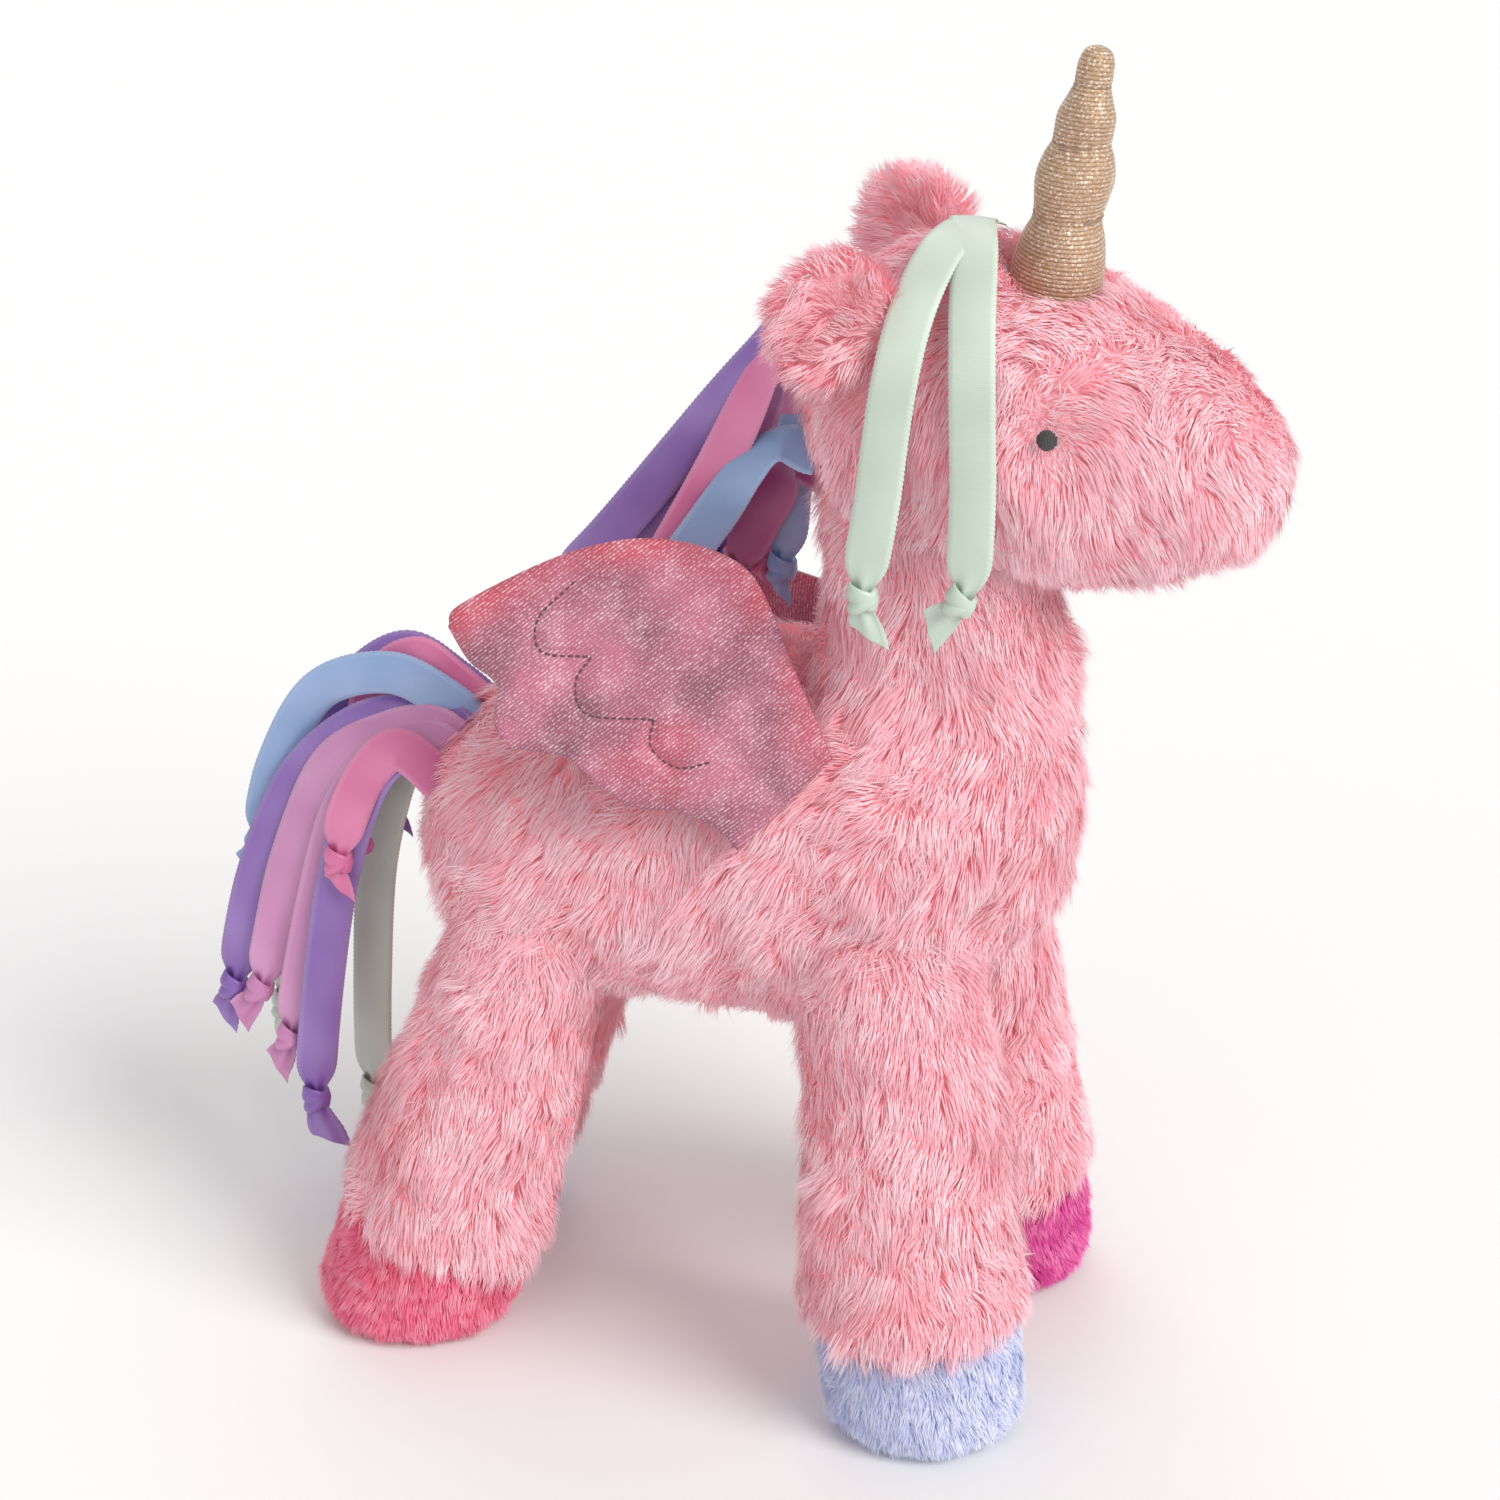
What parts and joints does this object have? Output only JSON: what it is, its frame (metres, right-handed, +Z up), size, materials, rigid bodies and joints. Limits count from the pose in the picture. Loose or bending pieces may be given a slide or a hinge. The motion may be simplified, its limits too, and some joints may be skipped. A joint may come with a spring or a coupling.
{
  "type": "plush unicorn",
  "caption": "Standing stuffed plush winged unicorn with satin ribbon mane and tail, knit horn, velvet wings and legs that swing at the hips.",
  "frame": {"origin": "on the ground under the middle of the overall box", "axes": "+X towards the nose, +Y to the toy's left, +Z up to the horn tip"},
  "size_m": [0.2644, 0.1206, 0.3297],
  "materials": {
    "plush_pink": "long-pile plush, soft and matt",
    "stuffing": "loose polyester fibre",
    "hoof_hot_pink": "short-pile plush",
    "hoof_periwinkle": "short-pile plush",
    "hoof_magenta": "short-pile plush",
    "hoof_lilac": "short-pile plush",
    "velvet_rose": "panne velvet with a soft glint",
    "knit_gold": "metallic rib knit with glitter",
    "thread_gold": "sewing thread",
    "thread_maroon": "sewing thread",
    "eye_charcoal": "embroidered thread",
    "satin_purple": "satin ribbon",
    "satin_light_blue": "satin ribbon",
    "satin_orchid": "satin ribbon",
    "satin_hot_pink": "satin ribbon",
    "satin_magenta": "satin ribbon",
    "satin_mint": "satin ribbon"
  },
  "bodies": {
    "trunk": {"body_panel_left": "plush_pink", "body_panel_right": "plush_pink", "belly_gusset": "plush_pink", "body_stuffing": "stuffing"},
    "neck": {"neck_panel_left": "plush_pink", "neck_panel_right": "plush_pink", "neck_stuffing": "stuffing"},
    "head": {"head_panel_left": "plush_pink", "head_panel_right": "plush_pink", "head_stuffing": "stuffing", "eye_left": "eye_charcoal", "eye_right": "eye_charcoal"},
    "horn": {"horn_cover": "knit_gold", "horn_stuffing": "stuffing", "horn_thread": "thread_gold"},
    "forelock": {"forelock_ribbon": "satin_mint"},
    "mane": {"mane_ribbons_purple": "satin_purple", "mane_ribbons_hot_pink": "satin_hot_pink", "mane_ribbons_orchid": "satin_orchid", "mane_ribbons_light_blue": "satin_light_blue", "mane_ribbons_magenta": "satin_magenta"},
    "tail": {"tail_ribbons_purple": "satin_purple", "tail_ribbons_light_blue": "satin_light_blue", "tail_ribbons_orchid": "satin_orchid", "tail_ribbons_hot_pink": "satin_hot_pink", "tail_ribbons_mint": "satin_mint"},
    "ear_left": {"ear_left_inner": "plush_pink", "ear_left_outer": "plush_pink"},
    "wing_left": {"wing_left_front_velvet": "velvet_rose", "wing_left_wadding": "stuffing", "wing_left_back_velvet": "velvet_rose", "wing_left_stitching": "thread_maroon"},
    "ear_right": {"ear_right_inner": "plush_pink", "ear_right_outer": "plush_pink"},
    "wing_right": {"wing_right_front_velvet": "velvet_rose", "wing_right_wadding": "stuffing", "wing_right_back_velvet": "velvet_rose", "wing_right_stitching": "thread_maroon"},
    "leg_front_right": {"leg_front_right_cover": "plush_pink", "leg_front_right_stuffing": "stuffing", "hoof_front_right_cover": "hoof_periwinkle", "hoof_front_right_stuffing": "stuffing"},
    "leg_back_right": {"leg_back_right_cover": "plush_pink", "leg_back_right_stuffing": "stuffing", "hoof_back_right_cover": "hoof_hot_pink", "hoof_back_right_stuffing": "stuffing"},
    "leg_front_left": {"leg_front_left_cover": "plush_pink", "leg_front_left_stuffing": "stuffing", "hoof_front_left_cover": "hoof_magenta", "hoof_front_left_stuffing": "stuffing"},
    "leg_back_left": {"leg_back_left_cover": "plush_pink", "leg_back_left_stuffing": "stuffing", "hoof_back_left_cover": "hoof_lilac", "hoof_back_left_stuffing": "stuffing"}
  },
  "joints": [
    {"name": "neck_bend", "type": "hinge", "parent": "trunk", "child": "neck", "pos_m": [0.05358, 0, 0.154], "axis": [0, 1, 0], "range_deg": [-8, 15]},
    {"name": "head_turn", "type": "hinge", "parent": "neck", "child": "head", "pos_m": [0.05358, 0, 0.228], "axis": [0, 0, 1], "range_deg": [-12, 12]},
    {"name": "horn_lean", "type": "hinge", "parent": "head", "child": "horn", "pos_m": [0.07758, 0, 0.269], "axis": [0, 1, 0], "range_deg": [-10, 10]},
    {"name": "ear_left_fold", "type": "hinge", "parent": "head", "child": "ear_left", "pos_m": [0.04658, 0.028, 0.27], "axis": [-0.2801, 0.07, -0.9574], "range_deg": [-15, 20]},
    {"name": "ear_right_fold", "type": "hinge", "parent": "head", "child": "ear_right", "pos_m": [0.04658, -0.028, 0.27], "axis": [0.2801, 0.07, 0.9574], "range_deg": [-15, 20]},
    {"name": "forelock_swing", "type": "hinge", "parent": "head", "child": "forelock", "pos_m": [0.05858, -0.004, 0.288], "axis": [-1, 0, 0], "range_deg": [0, 30]},
    {"name": "mane_swing", "type": "hinge", "parent": "head", "child": "mane", "pos_m": [0.02058, 0, 0.272], "axis": [0, 1, 0], "range_deg": [0, 25]},
    {"name": "tail_swing", "type": "hinge", "parent": "trunk", "child": "tail", "pos_m": [-0.06742, 0, 0.158], "axis": [0, 1, 0], "range_deg": [0, 30]},
    {"name": "hip_front_left", "type": "hinge", "parent": "trunk", "child": "leg_front_left", "pos_m": [0.05158, 0.028, 0.112], "axis": [0, 1, 0], "range_deg": [-20, 20]},
    {"name": "hip_front_right", "type": "hinge", "parent": "trunk", "child": "leg_front_right", "pos_m": [0.05158, -0.028, 0.112], "axis": [0, 1, 0], "range_deg": [-20, 20]},
    {"name": "hip_back_left", "type": "hinge", "parent": "trunk", "child": "leg_back_left", "pos_m": [-0.03842, 0.0245, 0.106], "axis": [0, 1, 0], "range_deg": [-20, 4]},
    {"name": "hip_back_right", "type": "hinge", "parent": "trunk", "child": "leg_back_right", "pos_m": [-0.03842, -0.0245, 0.106], "axis": [0, 1, 0], "range_deg": [-20, 4]},
    {"name": "wing_left_flap", "type": "hinge", "parent": "trunk", "child": "wing_left", "pos_m": [0.02988, 0.0426, 0.1613], "axis": [0.1021, 0.0975, -0.99], "range_deg": [-3, 40]},
    {"name": "wing_right_flap", "type": "hinge", "parent": "trunk", "child": "wing_right", "pos_m": [0.02988, -0.0426, 0.1613], "axis": [0.635, 0.3848, 0.6698], "range_deg": [-5, 40]}
  ]
}
